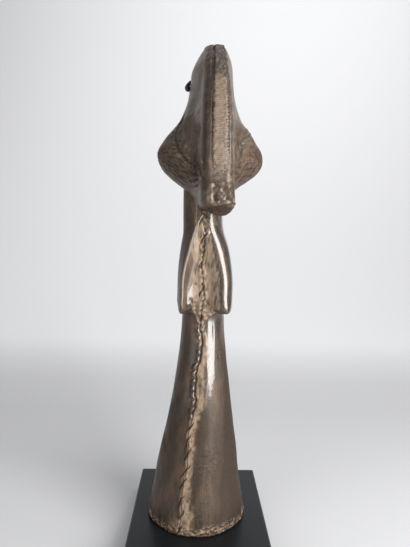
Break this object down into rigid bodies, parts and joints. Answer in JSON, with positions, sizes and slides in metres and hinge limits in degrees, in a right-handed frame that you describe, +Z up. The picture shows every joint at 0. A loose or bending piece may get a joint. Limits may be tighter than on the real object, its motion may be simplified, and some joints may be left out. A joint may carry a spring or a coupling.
{
  "type": "leather-cased crested doll on a plate",
  "caption": "Legless carved doll cased in sewn leather, with a half-disc crest, side lobes, breasts and a flared foot, on a black plate.",
  "frame": {"origin": "middle of the underside of the whole, on the surface that the plate stands on", "axes": "+Z up, -Y the way the doll faces, +X to the right of someone who faces it"},
  "size_m": [0.079, 0.1022, 0.2845],
  "materials": {
    "casing_leather": "dark brown, polished by handling, worn to tan along the seams and the rim",
    "strip_leather": "dry tan leather with fine cross wrinkles",
    "thong_leather": "black, slightly shiny",
    "plate_lacquer": "black lacquer, satin gloss"
  },
  "bodies": {
    "root": {"doll": "casing_leather", "crest_strip": "strip_leather", "crest_thong": "thong_leather", "stand_plate": "plate_lacquer"}
  },
  "joints": []
}
